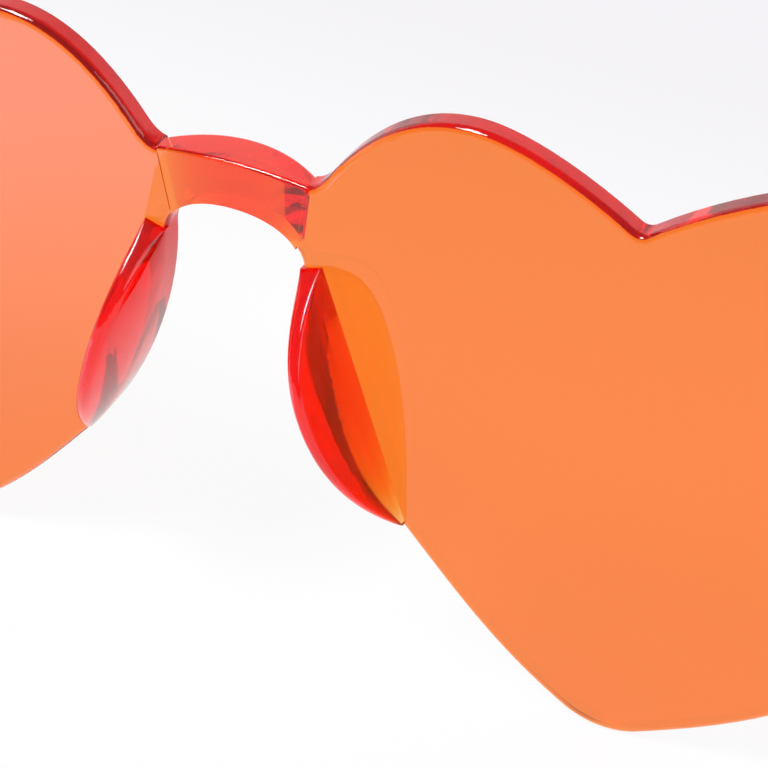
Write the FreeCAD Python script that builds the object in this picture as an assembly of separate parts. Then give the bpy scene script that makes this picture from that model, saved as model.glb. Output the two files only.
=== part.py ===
import FreeCAD, Part
import math
import os

from FreeCAD import Vector

# Rimless sunglasses: two flat heart plates, a bridge between them, and two folding temples.
# Lengths are in millimetres. While a piece is modelled, x runs out from the middle of the bridge,
# y runs back from the plates' rear face towards the wearer, and z runs up from the bridge's top edge.

# Heart plates
plate_thickness = 2.2
plate_rear_round = 0.8
seam_top_out = 7.6
seam_foot_inset = 0.6
lobe_foot_reach = 2.7
lobe_foot_rise = 2.55
lobe_foot_angle = 53.0
inner_lobe_out = 23.5
inner_lobe_rise = 10.5
notch_out = 39.05
notch_rise = 4.0
notch_radius = 1.2
notch_inner_angle = 34.0
notch_outer_angle = 38.0
outer_lobe_out = 59.5
outer_lobe_rise = 13.6
widest_out = 72.0
widest_drop = 2.5
tip_out = 38.7
tip_drop = 53.65
tip_outer_reach = 3.7
tip_outer_rise = 0.95
lower_outer_angle = 26.8
tip_inner_reach = 4.2
tip_inner_rise = 1.15
lower_inner_angle = 32.5
nose_foot_out = 17.3
nose_foot_drop = 35.95
nose_foot_angle = 49.5
nose_top_out = 7.0
nose_top_drop = 9.0

# Bridge, flat towards the wearer and bowed towards the front
bridge_recess = 0.1
bridge_bow = 2.2
bridge_crown = 0.55
bridge_arch_drop = 4.45
bridge_edge_round = 0.5
bridge_back_round = 0.4

# Nose pads, half-moon wings on the plates' rear faces
pad_top_width = 2.15
pad_top_rise = 0.9
pad_foot_width = 0.2
pad_foot_rise = 0.65
pad_height = 8.4
pad_end_height = 0.4
pad_peak_share = 0.41
pad_upper_fullness = 2.4
pad_lower_fullness = 2.0
pad_draft = 6.0
pad_lean = 20.0
pad_rim_round = 0.9
pad_ridge_round = 0.5
pad_section_shares = (0.0, 0.05, 0.14, 0.27, 0.41, 0.57, 0.74, 0.89, 1.0)

# End pieces that carry the hinges, bonded to the plates' rear faces
end_piece_width = 3.4
end_piece_height = 9.0
end_piece_inset = 0.2
end_piece_lowering = 2.0
end_piece_round = 0.9

# Three-barrel hinges on upright axes
hinge_back = 11.0
hinge_height = 6.0
knuckle_radius = 1.4
knuckle_gap = 0.1
leaf_thickness = 0.9
leaf_length = 6.6
leaf_clearance = 0.2
leaf_web_lap = 0.4
screw_radius = 0.7
screw_clearance = 0.05
screw_head_radius = 1.25
screw_head_height = 0.6
screw_slot_width = 0.3
screw_slot_depth = 0.3
rivet_radius = 0.6
rivet_grip = 2.2
rivet_head_radius = 1.0
rivet_head_height = 0.5
rivet_spacing = 3.2

# Temples
temple_thickness = 3.2
temple_front_height = 8.0
temple_bend_height = 5.4
temple_tip_height = 6.4
temple_straight = 88.0
temple_slope = 5.0
temple_joint_gap = 0.2
temple_stop_offset = 1.5
temple_edge_round = 0.9
ear_bend_radius = 22.0
ear_slope = 50.0

# Sizes that follow from the ones above
bridge_front = plate_thickness + bridge_bow
seam_foot_out = nose_top_out - seam_foot_inset
inner_face_offset = knuckle_radius + leaf_clearance
inner_face_out = widest_out - end_piece_inset - end_piece_width
hinge_out = inner_face_out - inner_face_offset
hinge_drop = widest_drop + end_piece_lowering


def flat(out, rise, back=0.0):
    return Vector(out, back, rise)


def heading(degrees):
    return Vector(math.cos(math.radians(degrees)), 0, math.sin(math.radians(degrees)))


def curve(start, start_angle, end, end_angle, start_pull=0.36, end_pull=0.36):
    # A smooth curve that leaves start and reaches end in the two given directions
    chord = (end - start).Length
    bend = Part.BezierCurve()
    bend.setPoles([start, start + heading(start_angle) * (chord * start_pull),
                   end - heading(end_angle) * (chord * end_pull), end])
    return bend


def line(start, end):
    return Part.LineSegment(start, end)


def nose_edge():
    # The plate's edge beside the nose, from the top down
    return curve(flat(nose_top_out, -nose_top_drop), -90,
                 flat(nose_foot_out, -nose_foot_drop), -nose_foot_angle, 0.29, 0.325)


def arch():
    # Half of the arch over the nose, from its top to the plate's nose edge
    return curve(flat(0, -bridge_arch_drop), 0, flat(nose_top_out, -nose_top_drop), -90, 0.53, 0.3)


def crease():
    # The straight line where a pad's outer side meets the plate: its ends, and the ways down and inward
    top = flat(nose_top_out + pad_top_width, pad_top_rise - nose_top_drop)
    foot = flat(nose_foot_out + pad_foot_width, pad_foot_rise - nose_foot_drop)
    down = (foot - top).normalize()
    return top, foot, down, Vector(down.z, 0, -down.x)


def seam_place():
    # Where along the arch the seam between bridge and plate comes down
    half = arch()
    low, high = 0.0, 1.0
    for _ in range(40):
        middle = (low + high) / 2
        if half.value(middle).x < seam_foot_out:
            low = middle
        else:
            high = middle
    return low


def plate_outline():
    seam_top = flat(seam_top_out, 0)
    over_nose = arch()
    over_nose.segment(seam_place(), 1.0)
    seam_foot = over_nose.StartPoint
    lobe_foot = flat(seam_top_out + lobe_foot_reach, lobe_foot_rise)
    inner_lobe = flat(inner_lobe_out, inner_lobe_rise)
    notch = flat(notch_out, notch_rise)
    half_turn = math.radians(notch_inner_angle + notch_outer_angle) / 2
    reach = notch_radius * math.tan(half_turn)
    notch_inner = notch + heading(180 - notch_inner_angle) * reach
    notch_outer = notch + heading(notch_outer_angle) * reach
    middle_angle = 90 + (notch_outer_angle - notch_inner_angle) / 2
    notch_floor = notch + heading(middle_angle) * (notch_radius / math.cos(half_turn) - notch_radius)
    outer_lobe = flat(outer_lobe_out, outer_lobe_rise)
    widest = flat(widest_out, -widest_drop)
    tip = flat(tip_out, -tip_drop)
    lower_outer = tip + flat(tip_outer_reach, tip_outer_rise)
    lower_inner = tip + flat(-tip_inner_reach, tip_inner_rise)
    beside_nose = nose_edge()
    return [
        line(seam_foot, seam_top),
        curve(seam_top, 12, lobe_foot, lobe_foot_angle),
        curve(lobe_foot, lobe_foot_angle, inner_lobe, 0, 0.42, 0.33),
        curve(inner_lobe, 0, notch_inner, -notch_inner_angle, 0.28, 0.31),
        Part.Arc(notch_inner, notch_floor, notch_outer),
        curve(notch_outer, notch_outer_angle, outer_lobe, 0, 0.28, 0.28),
        curve(outer_lobe, 0, widest, -90, 0.36, 0.42),
        curve(widest, -90, lower_outer, 180 + lower_outer_angle, 0.55, 0.31),
        Part.Arc(lower_outer, tip, lower_inner),
        curve(lower_inner, 180 - lower_inner_angle, beside_nose.EndPoint, 180 - nose_foot_angle),
        beside_nose,
        over_nose,
    ]


def extrude(curves, along):
    wire = Part.Wire(Part.__sortEdges__([one.toShape() for one in curves]))
    return Part.Face(wire).extrude(along)


def round_edges(solid, radius, chosen):
    edges = [edge for edge in solid.Edges if chosen(edge)]
    return solid.makeFillet(radius, edges)


def pad_seat():
    # The part of the plate under a nose pad; its rear rim stays square so that the pad sits flush
    top, foot, down, inward = crease()
    reach = inward * nose_top_out
    corners = [top, foot, foot + reach, top + reach]
    sides = [line(corners[index - 1], corners[index]) for index in range(4)]
    return extrude(sides, Vector(0, -plate_thickness / 2, 0))


def end_piece_levels():
    return -hinge_drop - end_piece_height / 2, -hinge_drop + end_piece_height / 2


def end_piece_seat():
    return block((inner_face_out, widest_out), (-plate_thickness / 2, 0), end_piece_levels())


def make_plate():
    plate = extrude(plate_outline(), Vector(0, -plate_thickness, 0))
    seam_limit = seam_top_out + plate_rear_round

    def on_rear_rim(edge):
        box = edge.BoundBox
        return box.YMin > -plate_rear_round / 2 and box.XMax > seam_limit

    rounded = round_edges(plate, plate_rear_round, on_rear_rim)
    seats = [plate.common(pad_seat()), plate.common(end_piece_seat())]
    # The seats stay faces of their own where the pad and the end piece are bonded on
    return rounded.fuse(seats).Solids[0]


def make_bridge():
    half_arch = arch()
    half_arch.segment(0.0, seam_place())
    seam_foot = half_arch.EndPoint
    mirror_arch = Part.BezierCurve()
    mirror_arch.setPoles([Vector(-pole.x, pole.y, pole.z) for pole in half_arch.getPoles()])
    front_view = [
        line(mirror_arch.EndPoint, flat(-seam_top_out, 0)),
        Part.Arc(flat(-seam_top_out, 0), flat(0, bridge_crown), flat(seam_top_out, 0)),
        line(flat(seam_top_out, 0), seam_foot),
        half_arch,
        mirror_arch,
    ]
    low = 2 * seam_foot.z
    left = Vector(-seam_top_out, -plate_thickness, low)
    right = Vector(seam_top_out, -plate_thickness, low)
    left_back = Vector(-seam_top_out, -bridge_recess, low)
    right_back = Vector(seam_top_out, -bridge_recess, low)
    plan_view = [
        line(left_back, right_back),
        line(right_back, right),
        Part.Arc(right, Vector(0, -bridge_front, low), left),
        line(left, left_back),
    ]
    upright = extrude(front_view, Vector(0, -2 * bridge_front, 0))
    bowed = extrude(plan_view, Vector(0, 0, -2 * low))
    bridge = upright.common(bowed).Solids[0]

    def on_front_top(edge):
        box = edge.BoundBox
        return box.YMin < -bridge_front + bridge_bow / 2 and box.XLength > seam_foot_out and box.ZMax > 0

    def on_back_top(edge):
        box = edge.BoundBox
        return box.YMin > -bridge_recess - bridge_back_round and box.XLength > seam_foot_out and box.ZMax > 0

    bridge = round_edges(bridge, bridge_edge_round, on_front_top)
    return round_edges(bridge, bridge_back_round, on_back_top)


def pad_width(along, top, down, inward):
    # Distance from the crease to the plate's nose edge, square to the crease
    edge = nose_edge()
    low, high = 0.0, 1.0
    for _ in range(40):
        middle = (low + high) / 2
        if (edge.value(middle) - top).dot(down) < along:
            low = middle
        else:
            high = middle
    return (edge.value(low) - top).dot(inward)


def pad_section(share):
    top, foot, down, inward = crease()
    back = Vector(0, 1, 0)
    along = share * (foot - top).Length
    if share < pad_peak_share:
        falling = ((pad_peak_share - share) / pad_peak_share) ** pad_upper_fullness
    else:
        falling = ((share - pad_peak_share) / (1 - pad_peak_share)) ** pad_lower_fullness
    height = pad_height - (pad_height - pad_end_height) * falling
    width = pad_width(along, top, down, inward)
    draft = math.tan(math.radians(pad_draft))
    lean = math.tan(math.radians(pad_lean))
    # The outer side leans in by the draft, and the nose side curves in until it has the full lean
    rim_width = width - (draft + lean / 2) * height
    shoulder = min(pad_rim_round, height * 0.4, rim_width * 0.62)
    ridge = min(pad_ridge_round, height * 0.3, rim_width * 0.34)
    ridge_foot = height - ridge
    ridge_in = draft * ridge_foot
    rim_foot = height - shoulder
    rim = width - lean * rim_foot / 2
    origin = top + down * along

    def at(across, up):
        return origin + inward * across + back * up

    def bent(*places):
        bend = Part.BezierCurve()
        bend.setPoles([at(*place) for place in places])
        return bend.toShape()

    base = line(at(0, 0), at(width, 0)).toShape()
    nose_side = bent((width, 0), (width, rim_foot / 2), (rim, rim_foot))
    rim_turn = bent((rim, rim_foot), (rim - lean * shoulder * 0.55, height - shoulder * 0.45),
                    (rim - shoulder * 0.6, height), (rim - shoulder, height))
    rim_flat = line(at(rim - shoulder, height), at(ridge_in + ridge, height)).toShape()
    ridge_turn = bent((ridge_in + ridge, height), (ridge_in + ridge * 0.45, height),
                      (ridge_in + draft * ridge * 0.55, height - ridge * 0.45), (ridge_in, ridge_foot))
    outer_side = line(at(ridge_in, ridge_foot), at(0, 0)).toShape()
    return Part.Wire([base, nose_side, rim_turn, rim_flat, ridge_turn, outer_side])


def make_pad():
    return Part.makeLoft([pad_section(share) for share in pad_section_shares], True, False)


def hinge_point(back=0.0, out=0.0):
    return Vector(hinge_out + out, hinge_back + back, -hinge_drop)


def block(out_range, back_range, rise_range):
    corner = Vector(out_range[0], back_range[0], rise_range[0])
    return Part.makeBox(out_range[1] - out_range[0], back_range[1] - back_range[0],
                        rise_range[1] - rise_range[0], corner)


def rivet_places(side):
    # Middles of one leaf's two rivets, on the face that the leaf is set against; side is -1 in front
    first = knuckle_radius + leaf_clearance + leaf_length / 2 - rivet_spacing / 2
    return [hinge_point(side * (first + step * rivet_spacing), inner_face_offset) for step in (0, 1)]


def rivet_holes(side):
    return Part.makeCompound([
        Part.makeCylinder(rivet_radius, leaf_thickness + rivet_grip, place - Vector(leaf_thickness, 0, 0),
                          Vector(1, 0, 0))
        for place in rivet_places(side)])


def make_rivets(side):
    rivets = []
    for place in rivet_places(side):
        seat = place - Vector(leaf_thickness, 0, 0)
        shank = Part.makeCylinder(rivet_radius, leaf_thickness + rivet_grip, seat, Vector(1, 0, 0))
        dome_radius = (rivet_head_radius ** 2 + rivet_head_height ** 2) / (2 * rivet_head_height)
        ball = Part.makeSphere(dome_radius, seat + Vector(dome_radius - rivet_head_height, 0, 0))
        slab = Part.makeCylinder(rivet_head_radius * 2, rivet_head_height * 2, seat, Vector(-1, 0, 0))
        rivets.append(shank.fuse(ball.common(slab)).removeSplitter().Solids[0])
    return Part.makeCompound(rivets)


def make_end_piece():
    inner = inner_face_out
    rear = hinge_back - temple_stop_offset - temple_joint_gap
    body = block((inner, inner + end_piece_width), (0, rear), end_piece_levels())

    def outer_corner(edge):
        box = edge.BoundBox
        return box.XLength < 0.01 and box.YLength > rear / 2 and box.XMin > inner + end_piece_width / 2

    return round_edges(body, end_piece_round, outer_corner).cut(rivet_holes(-1))


def knuckle(low, high):
    return Part.makeCylinder(knuckle_radius, high - low, Vector(hinge_out, hinge_back, low))


def make_leaf(side, knuckle_ranges):
    # One hinge leaf with its knuckles; side is -1 for the leaf on the end piece, 1 on the temple
    outer = inner_face_offset
    near = knuckle_radius + leaf_clearance
    backs = sorted((hinge_back + side * near, hinge_back + side * (near + leaf_length)))
    middle = -hinge_drop
    leaf = block((hinge_out + outer - leaf_thickness, hinge_out + outer), backs,
                 (middle - hinge_height / 2, middle + hinge_height / 2))
    leaf = leaf.cut(rivet_holes(side))
    web_backs = sorted((hinge_back, hinge_back + side * (near + leaf_web_lap)))
    bore_radius = screw_radius + screw_clearance
    for low, high in knuckle_ranges:
        web = block((hinge_out, hinge_out + outer - leaf_clearance), web_backs, (low, high))
        leaf = leaf.fuse(web).fuse(knuckle(low, high))
    bore_foot = Vector(hinge_out, hinge_back, middle - hinge_height)
    bore = Part.makeCylinder(bore_radius, 2 * hinge_height, bore_foot)
    return leaf.cut(bore).removeSplitter().Solids[0]


def knuckle_levels():
    foot = -hinge_drop - hinge_height / 2
    third = hinge_height / 3
    return foot, foot + third, foot + 2 * third, foot + hinge_height


def make_front_hinge():
    foot, low, high, head = knuckle_levels()
    return make_leaf(-1, [(foot, low), (high, head)])


def make_temple_hinge():
    foot, low, high, head = knuckle_levels()
    return make_leaf(1, [(low + knuckle_gap, high - knuckle_gap)])


def make_screw():
    foot, low, high, head = knuckle_levels()
    shank = Part.makeCylinder(screw_radius, head - foot, Vector(hinge_out, hinge_back, foot))
    cap = Part.makeCylinder(screw_head_radius, screw_head_height, Vector(hinge_out, hinge_back, head))
    slot_floor = head + screw_head_height - screw_slot_depth
    slot = block((hinge_out - screw_slot_width / 2, hinge_out + screw_slot_width / 2),
                 (hinge_back - 2 * screw_head_radius, hinge_back + 2 * screw_head_radius),
                 (slot_floor, slot_floor + screw_head_height))
    return shank.fuse(cap).cut(slot).removeSplitter().Solids[0]


def temple_spine():
    # Side view of the temple's middle line as (back, rise, slope) at its front, bend start, bend middle,
    # bend end and tip; the tip's round end rests at the level of the hearts' tips
    slope = math.radians(temple_slope)
    steep = math.radians(ear_slope)
    half = (slope + steep) / 2
    front = (hinge_back - temple_stop_offset, -hinge_drop)
    start = (front[0] + temple_straight * math.cos(slope), front[1] - temple_straight * math.sin(slope))

    def on_bend(angle):
        return (start[0] + ear_bend_radius * (math.sin(angle) - math.sin(slope)),
                start[1] - ear_bend_radius * (math.cos(slope) - math.cos(angle)))

    end = on_bend(steep)
    fall = end[1] + tip_drop - temple_tip_height / 2
    tip = (end[0] + fall / math.tan(steep), end[1] - fall)
    return [front + (slope,), start + (slope,), on_bend(half) + (half,), end + (steep,), tip + (steep,)]


def make_temple():
    heights = (temple_front_height,) + (temple_bend_height,) * 3 + (temple_tip_height,)
    inner = inner_face_out

    def beside(station, offset):
        back, rise, slope = station
        return Vector(inner, back + offset * math.sin(slope), rise + offset * math.cos(slope))

    spine = temple_spine()
    upper = [beside(station, height / 2) for station, height in zip(spine, heights)]
    lower = [beside(station, -height / 2) for station, height in zip(spine, heights)]
    upper[0] = Vector(inner, spine[0][0], upper[0].z)
    lower[0] = Vector(inner, spine[0][0], lower[0].z)
    back, rise, slope = spine[4]
    tip_round = temple_tip_height / 2
    end = Vector(inner, back + tip_round * math.cos(slope), rise - tip_round * math.sin(slope))
    outline = [
        line(lower[0], upper[0]), line(upper[0], upper[1]), Part.Arc(upper[1], upper[2], upper[3]),
        line(upper[3], upper[4]), Part.Arc(upper[4], end, lower[4]), line(lower[4], lower[3]),
        Part.Arc(lower[3], lower[2], lower[1]), line(lower[1], lower[0]),
    ]
    arm = extrude(outline, Vector(temple_thickness, 0, 0))

    def long_edge(edge):
        box = edge.BoundBox
        return box.XLength < 0.01 and box.YMax > hinge_back + temple_stop_offset

    return round_edges(arm, temple_edge_round, long_edge).cut(rivet_holes(1))


def mirrored(shape):
    return shape.mirror(Vector(0, 0, 0), Vector(1, 0, 0))


# The wearer's left is +x; each left piece has a mirror twin on the right
left_pieces = {
    "lens": make_plate(),
    "nose_pad": make_pad(),
    "end_piece": make_end_piece(),
    "front_hinge": make_front_hinge(),
    "front_rivets": make_rivets(-1),
    "hinge_screw": make_screw(),
    "temple_hinge": make_temple_hinge(),
    "temple_rivets": make_rivets(1),
    "temple": make_temple(),
}
pieces = {"bridge": make_bridge()}
for name, shape in left_pieces.items():
    pieces[name + "_left"] = shape
    pieces[name + "_right"] = mirrored(shape)

# The finished part stands on its base: origin in the middle of its box, on the floor
box = Part.makeCompound(list(pieces.values())).optimalBoundingBox(False, False)
to_base = Vector(-box.Center.x, -box.Center.y, -box.ZMin)
os.makedirs("parts", exist_ok=True)
for name, shape in pieces.items():
    placed = shape.copy()
    placed.translate(to_base)
    placed.exportStep("parts/" + name + ".step")
    print(name, "valid", placed.isValid(), "solids", len(placed.Solids), "volume", round(placed.Volume, 2))

axis_point = hinge_point() + to_base
print("left hinge axis at", [round(value, 3) for value in axis_point])
print("bridge top middle at", [round(value, 3) for value in to_base])
print("size", [round(value, 3) for value in (box.XLength, box.YLength, box.ZLength)])
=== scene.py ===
import math

import bmesh
import bpy
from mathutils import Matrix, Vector
from mathutils.bvhtree import BVHTree


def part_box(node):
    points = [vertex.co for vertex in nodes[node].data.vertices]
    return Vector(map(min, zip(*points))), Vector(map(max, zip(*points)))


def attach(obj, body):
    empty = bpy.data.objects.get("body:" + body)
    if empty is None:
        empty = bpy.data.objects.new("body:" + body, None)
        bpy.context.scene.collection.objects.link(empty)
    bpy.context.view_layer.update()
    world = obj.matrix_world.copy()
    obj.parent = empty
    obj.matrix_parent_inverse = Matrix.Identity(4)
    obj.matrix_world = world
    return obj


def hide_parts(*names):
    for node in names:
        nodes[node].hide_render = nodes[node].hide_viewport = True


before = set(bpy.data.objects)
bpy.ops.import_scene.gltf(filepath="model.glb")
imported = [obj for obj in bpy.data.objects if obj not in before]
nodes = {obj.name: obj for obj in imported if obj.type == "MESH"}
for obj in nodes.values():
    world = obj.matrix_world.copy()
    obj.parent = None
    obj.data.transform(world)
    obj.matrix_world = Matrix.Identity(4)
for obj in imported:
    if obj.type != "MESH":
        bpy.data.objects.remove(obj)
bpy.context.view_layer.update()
mm = 0.001


def srgb(code):
    # A screen colour such as FFE0C0 as the linear values that the shaders take
    shares = [int(code[at:at + 2], 16) / 255 for at in (0, 2, 4)]
    return [s / 12.92 if s <= 0.04045 else ((s + 0.055) / 1.055) ** 2.4 for s in shares] + [1.0]


def addNode(tree, kind, settings=None, **links):
    # Settings are the node's own properties or, by socket name or number, plain values
    node = tree.nodes.new(kind)
    for key, value in (settings or {}).items():
        if isinstance(key, int) or key in node.inputs:
            node.inputs[key].default_value = value
        else:
            setattr(node, key, value)
    for key, source in links.items():
        tree.links.new(source, node.inputs[int(key[2:]) if key.startswith("at") else key.replace("_", " ")])
    return node


def newMaterial(name):
    material = bpy.data.materials.new(name)
    material.use_nodes = True
    material.node_tree.nodes.clear()
    return material, material.node_tree


# Polycarbonate sheet and mouldings dyed clear orange: glossy like glass, it takes blue first and then
# green out of the light, so a 2 mm plate shows orange and a thick edge or pad shows deep red
plastic = {
    "taken": (5.0, 620.0, 1645.0),      # red, green and blue that the dye takes out, per metre of path
    "padTaken": (2.0, 806.0, 2138.0),   # the cast pads hold more of a cleaner dye than the sheet
    "ior": 1.585,
    "smooth": 0.012,                    # roughness between the patches of haze and in them
    "worn": 0.05,
    "waveWidth": 14 * mm,               # slow swell of the moulded faces
    "waveHeight": 0.004 * mm,
    "hazeWidth": 5 * mm,                # patches of handling haze
    "hazeFrom": 0.45,                   # noise level where a patch starts and where it is full
    "hazeTo": 0.75,
}


def clearOrangePolycarbonate(name, taken):
    material, tree = newMaterial(name)
    place = addNode(tree, "ShaderNodeTexCoord")
    swell = addNode(tree, "ShaderNodeTexNoise", {"Scale": 1 / plastic["waveWidth"], "Detail": 1.0},
                    Vector=place.outputs["Object"])
    bump = addNode(tree, "ShaderNodeBump", {"Strength": 1.0, "Distance": plastic["waveHeight"]},
                   Height=swell.outputs["Fac"])
    haze = addNode(tree, "ShaderNodeTexNoise", {"Scale": 1 / plastic["hazeWidth"], "Detail": 4.0},
                   Vector=place.outputs["Object"])
    rough = addNode(tree, "ShaderNodeMapRange",
                    {"From Min": plastic["hazeFrom"], "From Max": plastic["hazeTo"],
                     "To Min": plastic["smooth"], "To Max": plastic["worn"]},
                    Value=haze.outputs["Fac"])
    # At a solvent-bonded joint the two plastics have run into one: no face shows and light goes straight on
    bonded = addNode(tree, "ShaderNodeAttribute", {"attribute_name": "bonded"})
    free = addNode(tree, "ShaderNodeMath", {"operation": "SUBTRACT", 0: 1.0}, at1=bonded.outputs["Fac"])
    shader = addNode(tree, "ShaderNodeBsdfPrincipled",
                     {"Base Color": srgb("FFFFFF"), "IOR": plastic["ior"], "Transmission Weight": 1.0},
                     Roughness=rough.outputs["Result"], Normal=bump.outputs["Normal"], Alpha=free.outputs[0])
    most = max(taken)
    passed = [1 - share / most for share in taken] + [1.0]
    dye = addNode(tree, "ShaderNodeVolumeAbsorption", {"Color": passed, "Density": most})
    addNode(tree, "ShaderNodeOutputMaterial", Surface=shader.outputs["BSDF"], Volume=dye.outputs["Volume"])
    return material


# Stamped and polished hinge steel: grey mirror with fine grinding lines and duller patches
steel = {
    "colour": "B9B7B2",
    "polished": 0.18,
    "dull": 0.34,
    "patchWidth": 1.5 * mm,
    "dullFrom": 0.35,                   # noise level where a dull patch starts and where it is full
    "dullTo": 0.7,
    "grindSpacing": 0.12 * mm,
    "grindStretch": (1.0, 0.08, 1.0),   # the grinding lines run front to back
    "grindDepth": 0.004 * mm,
    "grindShow": 0.3,
}


def polishedHingeSteel():
    material, tree = newMaterial("polishedHingeSteel")
    place = addNode(tree, "ShaderNodeTexCoord")
    stretch = addNode(tree, "ShaderNodeMapping", {"Scale": steel["grindStretch"]},
                      Vector=place.outputs["Object"])
    lines = addNode(tree, "ShaderNodeTexNoise", {"Scale": 1 / steel["grindSpacing"], "Detail": 2.0},
                    Vector=stretch.outputs["Vector"])
    patches = addNode(tree, "ShaderNodeTexNoise", {"Scale": 1 / steel["patchWidth"], "Detail": 3.0},
                      Vector=place.outputs["Object"])
    rough = addNode(tree, "ShaderNodeMapRange",
                    {"From Min": steel["dullFrom"], "From Max": steel["dullTo"],
                     "To Min": steel["polished"], "To Max": steel["dull"]},
                    Value=patches.outputs["Fac"])
    bump = addNode(tree, "ShaderNodeBump", {"Strength": steel["grindShow"], "Distance": steel["grindDepth"]},
                   Height=lines.outputs["Fac"])
    shader = addNode(tree, "ShaderNodeBsdfPrincipled", {"Base Color": srgb(steel["colour"]), "Metallic": 1.0},
                     Roughness=rough.outputs["Result"], Normal=bump.outputs["Normal"])
    addNode(tree, "ShaderNodeOutputMaterial", Surface=shader.outputs["BSDF"])
    return material


sheetFinish = clearOrangePolycarbonate("clearOrangePolycarbonate", plastic["taken"])
padFinish = clearOrangePolycarbonate("deepOrangePolycarbonate", plastic["padTaken"])
steelFinish = polishedHingeSteel()
for name, node in nodes.items():
    steelPiece = any(word in name for word in ("hinge", "rivets", "screw"))
    node.data.materials.clear()
    node.data.materials.append(steelFinish if steelPiece else padFinish if "pad" in name else sheetFinish)
print("materials:", [material.name for material in (sheetFinish, padFinish, steelFinish)])


near = {"merge": 0.0005 * mm, "plane": 0.001 * mm, "hole": 0.01 * mm}  # how close counts as the same place
smoothTurn = 32  # degrees; a sharper turn between two faces stays an edge


def copyOfNode(nodeName, pieceName):
    # A merged copy of a CAD node as a piece of its own, open for editing
    bpy.ops.object.select_all(action="DESELECT")
    piece = bpy.data.objects.new(pieceName, nodes[nodeName].data.copy())
    bpy.context.collection.objects.link(piece)
    piece.select_set(True)
    bpy.context.view_layer.objects.active = piece
    bpy.ops.object.mode_set(mode="EDIT")
    bpy.ops.mesh.customdata_custom_splitnormals_clear()
    bpy.ops.mesh.select_all(action="SELECT")
    bpy.ops.mesh.remove_doubles(threshold=near["merge"])
    bpy.ops.mesh.select_all(action="DESELECT")
    return piece


def selectPoints(piece, wanted):
    points = bmesh.from_edit_mesh(piece.data)
    for vert in points.verts:
        vert.select = wanted(vert.co)
    points.select_flush_mode()
    bmesh.update_edit_mesh(piece.data)


def selectEndFaces(piece, sign):
    # Faces that look out to one side; gives the way that they look
    faces = bmesh.from_edit_mesh(piece.data)
    facing = Vector()
    for face in faces.faces:
        face.select = face.normal.x * sign > bond["endFacing"]
        if face.select:
            facing += face.normal * face.calc_area()
    bmesh.update_edit_mesh(piece.data)
    return facing.normalized()


def easeFromSteel(piece, sign, rivets):
    # Air, not plastic, lies between a leaf or rivet and the plastic round it
    selectPoints(piece, lambda place: abs(place.x * sign - innerFace) < near["plane"])
    bpy.ops.transform.translate(value=(sign * steelFit["ease"], 0, 0))
    low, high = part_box(rivets)
    level = (low.z + high.z) / 2
    grow = 1 + steelFit["ease"] / steelFit["rivetRadius"]
    for along in (low.y + steelFit["headRadius"], high.y - steelFit["headRadius"]):
        def inHole(place):
            return math.hypot(place.y - along, place.z - level) < steelFit["rivetRadius"] + near["hole"]
        selectPoints(piece, inHole)
        bpy.ops.transform.resize(value=(1, grow, grow), center_override=(0, along, level))
        deep = max(abs(low.x), abs(high.x)) - near["hole"]
        selectPoints(piece, lambda place: inHole(place) and place.x * sign > deep)
        bpy.ops.transform.translate(value=(sign * steelFit["ease"], 0, 0))


def finishPiece(piece, body, replaced, keepFlats=True):
    bpy.ops.object.mode_set(mode="OBJECT")
    bpy.ops.object.shade_smooth_by_angle(angle=math.radians(smoothTurn), keep_sharp_edges=False)
    if keepFlats:
        flats = piece.modifiers.new("flatFacesStayFlat", "WEIGHTED_NORMAL")
        flats.keep_sharp = True
        flats.mode = "FACE_AREA_WITH_ANGLE"
        bpy.ops.object.modifier_apply(modifier=flats.name)
    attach(piece, body)
    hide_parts(replaced)
    print("piece:", piece.name, len(piece.data.polygons), "faces")


# Bridge and end pieces are solvent-bonded to the plates. The pads are glued on, so the face between a pad and
# its plate still shows. Neither joint holds air, so each foot goes a hair into its plate
bond = {
    "depth": 0.02 * mm,
    "touch": 0.002 * mm,                # a face this close to its neighbour counts as bonded
    "endFacing": 0.9,                   # an end face of the bridge looks at least this much to the side
}
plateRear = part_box("lens_left")[1].y


def sinkFoot(piece):
    selectPoints(piece, lambda place: abs(place.y - plateRear) < near["plane"])
    bpy.ops.transform.translate(value=(0, -bond["depth"], 0))


def markBond(piece, *neighbours):
    # The finish reads from this mark which faces lie on a neighbour
    surfaces = []
    for name in neighbours:
        mesh = nodes[name].data
        surfaces.append(BVHTree.FromPolygons([vert.co for vert in mesh.vertices],
                                             [list(face.vertices) for face in mesh.polygons]))
    faces = bmesh.from_edit_mesh(piece.data)
    mark = faces.faces.layers.float.new("bonded")
    for face in faces.faces:
        middle = face.calc_center_median()
        face[mark] = float(min(each.find_nearest(middle)[3] for each in surfaces) < bond["touch"])
    bmesh.update_edit_mesh(piece.data)
    print("bonded faces of", piece.name, sum(face[mark] for face in faces.faces))


for side in ("left", "right"):
    plate = copyOfNode("lens_" + side, "heartPlate_" + side)
    markBond(plate, "bridge", "end_piece_" + side)
    finishPiece(plate, "front", "lens_" + side)
    pad = copyOfNode("nose_pad_" + side, "nosePad_" + side)
    sinkFoot(pad)
    finishPiece(pad, "front", "nose_pad_" + side, keepFlats=False)

bridge = copyOfNode("bridge", "bridgeArch")
markBond(bridge, "lens_left", "lens_right")
for sign in (1, -1):
    outward = selectEndFaces(bridge, sign)
    bpy.ops.transform.translate(value=outward * bond["depth"])
finishPiece(bridge, "front", "bridge")

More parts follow.
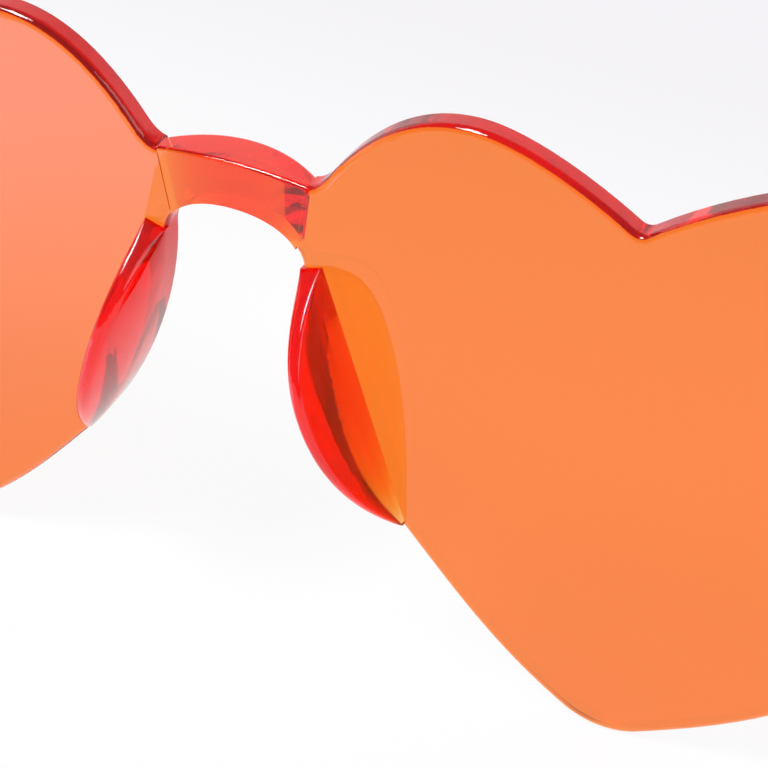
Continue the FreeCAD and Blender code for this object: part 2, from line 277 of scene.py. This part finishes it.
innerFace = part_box("front_hinge_left")[1].x
steelFit = {"rivetRadius": 0.6 * mm, "headRadius": 1.0 * mm, "ease": 0.02 * mm}
for side, sign in (("left", 1), ("right", -1)):
    endPiece = copyOfNode("end_piece_" + side, "endPiece_" + side)
    markBond(endPiece, "lens_" + side)
    sinkFoot(endPiece)
    easeFromSteel(endPiece, sign, "front_rivets_" + side)
    finishPiece(endPiece, "front", "end_piece_" + side)
    temple = copyOfNode("temple_" + side, "temple_arm_" + side)
    easeFromSteel(temple, sign, "temple_rivets_" + side)
    finishPiece(temple, side + "_arm", "temple_" + side)

# Camera at the photo's view: behind and above the right plate, looking down on the bridge
shot = {
    "target": (-15.3 * mm, -68.249 * mm, 34.38 * mm),
    "azimuth": 205.86,
    "elevation": 38.0,
    "distance": 252.08 * mm,
    "lens": 128.9,
    "sensor": 36,
    "nearest": 0.01,                    # nothing closer than this is drawn
}
turn, lift = math.radians(shot["azimuth"]), math.radians(shot["elevation"])
towards = Vector((math.sin(turn) * math.cos(lift), -math.cos(turn) * math.cos(lift), math.sin(lift)))
cameraData = bpy.data.cameras.new("camera")
cameraData.lens = shot["lens"]
cameraData.sensor_width = shot["sensor"]
cameraData.clip_start = shot["nearest"]
camera = bpy.data.objects.new("camera", cameraData)
bpy.context.collection.objects.link(camera)
camera.location = Vector(shot["target"]) + towards * shot["distance"]
camera.rotation_euler = (-towards).to_track_quat("-Z", "Y").to_euler()
bpy.context.scene.camera = camera
print("camera at", [round(value, 4) for value in camera.location])

# Studio: white floor with painted shade further in front, a pale room that is dim above and behind, two soft
# lamps and a light card
studio = {
    "floorSide": 6.0,
    "paper": "F4F4F4",
    "floorNear": "FFFFFF",              # what the camera, gloss and clear plastic see of the floor
    # painted shade: further in front, the floor's glow is painted this pale grey
    "floorFarPaintedShade": "F4F2F6",
    "farFrom": 0.10,                    # metres in front of the middle where painted shade starts to turn the floor's glow grey, and where it is full
    "farTo": 0.20,
    "shadowShare": 0.08,                # how much of the floor's own light and shade shows
    "backdrop": 1.05,
    "overhead": 0.24,
    "dimWay": (-0.25, 0.68, 0.68),      # the room gets dimmer this way
    "dimFrom": -0.1,                    # share of that way where it starts and where it ends
    "dimTo": 0.25,
    "bounces": 256,
}


def whiteFloor():
    material, tree = newMaterial("whiteStudioPaper")
    path = addNode(tree, "ShaderNodeLightPath")
    seen = addNode(tree, "ShaderNodeMath", {"operation": "MAXIMUM"}, at0=path.outputs["Is Camera Ray"],
                   at1=path.outputs["Is Glossy Ray"])
    seenToo = addNode(tree, "ShaderNodeMath", {"operation": "MAXIMUM"}, at0=seen.outputs[0],
                      at1=path.outputs["Is Transmission Ray"])
    share = addNode(tree, "ShaderNodeMath", {"operation": "MULTIPLY", 1: 1 - studio["shadowShare"]},
                    at0=seenToo.outputs[0])
    paper = addNode(tree, "ShaderNodeBsdfDiffuse", {"Color": srgb(studio["paper"])})
    place = addNode(tree, "ShaderNodeTexCoord")
    split = addNode(tree, "ShaderNodeSeparateXYZ", None, Vector=place.outputs["Object"])
    # Painted shade: the floor's glow turns pale grey further in front, as if less light fell there
    farPaintedShade = addNode(tree, "ShaderNodeMapRange",
                  {"interpolation_type": "SMOOTHSTEP",
                   "From Min": -studio["farFrom"], "From Max": -studio["farTo"]},
                  Value=split.outputs["Y"])
    tone = addNode(tree, "ShaderNodeMix",
                   {"data_type": "RGBA", 6: srgb(studio["floorNear"]), 7: srgb(studio["floorFarPaintedShade"])},
                   at0=farPaintedShade.outputs["Result"])
    glow = addNode(tree, "ShaderNodeEmission", None, Color=tone.outputs[2])
    mixed = addNode(tree, "ShaderNodeMixShader", None, Fac=share.outputs[0], at1=paper.outputs[0],
                    at2=glow.outputs[0])
    addNode(tree, "ShaderNodeOutputMaterial", Surface=mixed.outputs[0])
    return material


bpy.ops.object.select_all(action="DESELECT")
bpy.ops.mesh.primitive_plane_add(size=studio["floorSide"], location=(0, 0, 0))
floor = bpy.context.object
floor.name = "floor"
floor.data.materials.append(whiteFloor())

world = bpy.data.worlds.new("paleRoom")
bpy.context.scene.world = world
world.use_nodes = True
room = world.node_tree
room.nodes.clear()
# Seen in the gloss, the room is as white as the floor towards the front and dim above and behind
way = addNode(room, "ShaderNodeTexCoord")
rear = addNode(room, "ShaderNodeVectorMath", {"operation": "DOT_PRODUCT", 1: studio["dimWay"]},
               at0=way.outputs["Generated"])
level = addNode(room, "ShaderNodeMapRange",
                {"interpolation_type": "SMOOTHSTEP",
                 "From Min": studio["dimFrom"], "From Max": studio["dimTo"],
                 "To Min": studio["backdrop"], "To Max": studio["overhead"]},
                Value=rear.outputs["Value"])
roomPath = addNode(room, "ShaderNodeLightPath")
asSeen = addNode(room, "ShaderNodeMath", {"operation": "MAXIMUM"}, at0=level.outputs["Result"],
                 at1=roomPath.outputs["Is Camera Ray"])
sky = addNode(room, "ShaderNodeBackground", {"Color": srgb("FFFFFF")}, Strength=asSeen.outputs[0])
addNode(room, "ShaderNodeOutputWorld", Surface=sky.outputs[0])

lamps = {
    "softbox": {"place": (0.28, 0.32, 0.81), "aim": (0, -0.03, 0.03), "size": (0.28, 0.28), "watts": 7.0},
    "side": {"place": (-0.8, 0.3, 0.5), "aim": (0, -0.03, 0.03), "size": (0.5, 0.5), "watts": 1.5},
}
# A cool daylight card lies on the floor behind the left plate and shows in that plate's gloss alone
card = {
    "place": (0.0875, -0.018, 0.0005),
    "turn": -21.4,
    "size": (0.085, 0.13),
    "colour": "B5C4FF",
    "watts": 0.068,
    "plateEnd": (1.0, 0.3),             # shares of its length over which it fades towards the plates
    "tipEnd": (0.0, 0.22),              # and towards the temples' tips
}


def areaLamp(name, lamp):
    data = bpy.data.lights.new(name, "AREA")
    data.shape = "RECTANGLE"
    data.size, data.size_y = lamp["size"]
    data.energy = lamp["watts"]
    light = bpy.data.objects.new(name, data)
    bpy.context.collection.objects.link(light)
    light.location = lamp["place"]
    return light


def fadeAlong(tree, along, ends):
    fade = addNode(tree, "ShaderNodeMapRange",
                   {"interpolation_type": "SMOOTHSTEP", "From Min": ends[0], "From Max": ends[1]},
                   Value=along)
    return fade.outputs["Result"]


for name, lamp in lamps.items():
    light = areaLamp(name, lamp)
    light.rotation_euler = (Vector(lamp["aim"]) - light.location).to_track_quat("-Z", "Y").to_euler()

daylightCard = areaLamp("daylightCard", card)
daylightCard.rotation_euler = (math.pi, 0, math.radians(card["turn"]))  # face up
daylightCard.visible_camera = daylightCard.visible_diffuse = daylightCard.visible_transmission = False
daylightCard.data.color = srgb(card["colour"])[:3]
daylightCard.data.use_nodes = True
cardTree = daylightCard.data.node_tree
cardTree.nodes.clear()
across = addNode(cardTree, "ShaderNodeNewGeometry")
spots = addNode(cardTree, "ShaderNodeSeparateXYZ", None, Vector=across.outputs["Parametric"])
bothFades = addNode(cardTree, "ShaderNodeMath", {"operation": "MULTIPLY"},
                    at0=fadeAlong(cardTree, spots.outputs["Y"], card["plateEnd"]),
                    at1=fadeAlong(cardTree, spots.outputs["Y"], card["tipEnd"]))
cardGlow = addNode(cardTree, "ShaderNodeEmission", None, Strength=bothFades.outputs[0])
addNode(cardTree, "ShaderNodeOutputLight", Surface=cardGlow.outputs[0])

bpy.context.scene.view_settings.view_transform = "Standard"
# Light runs down inside a plate by many mirror bounces before it leaves at an edge
cycles = bpy.context.scene.cycles
cycles.max_bounces = cycles.glossy_bounces = studio["bounces"]
cycles.transmission_bounces = cycles.transparent_max_bounces = studio["bounces"]
print("studio: floor, room,", len(lamps), "lamps and a card")
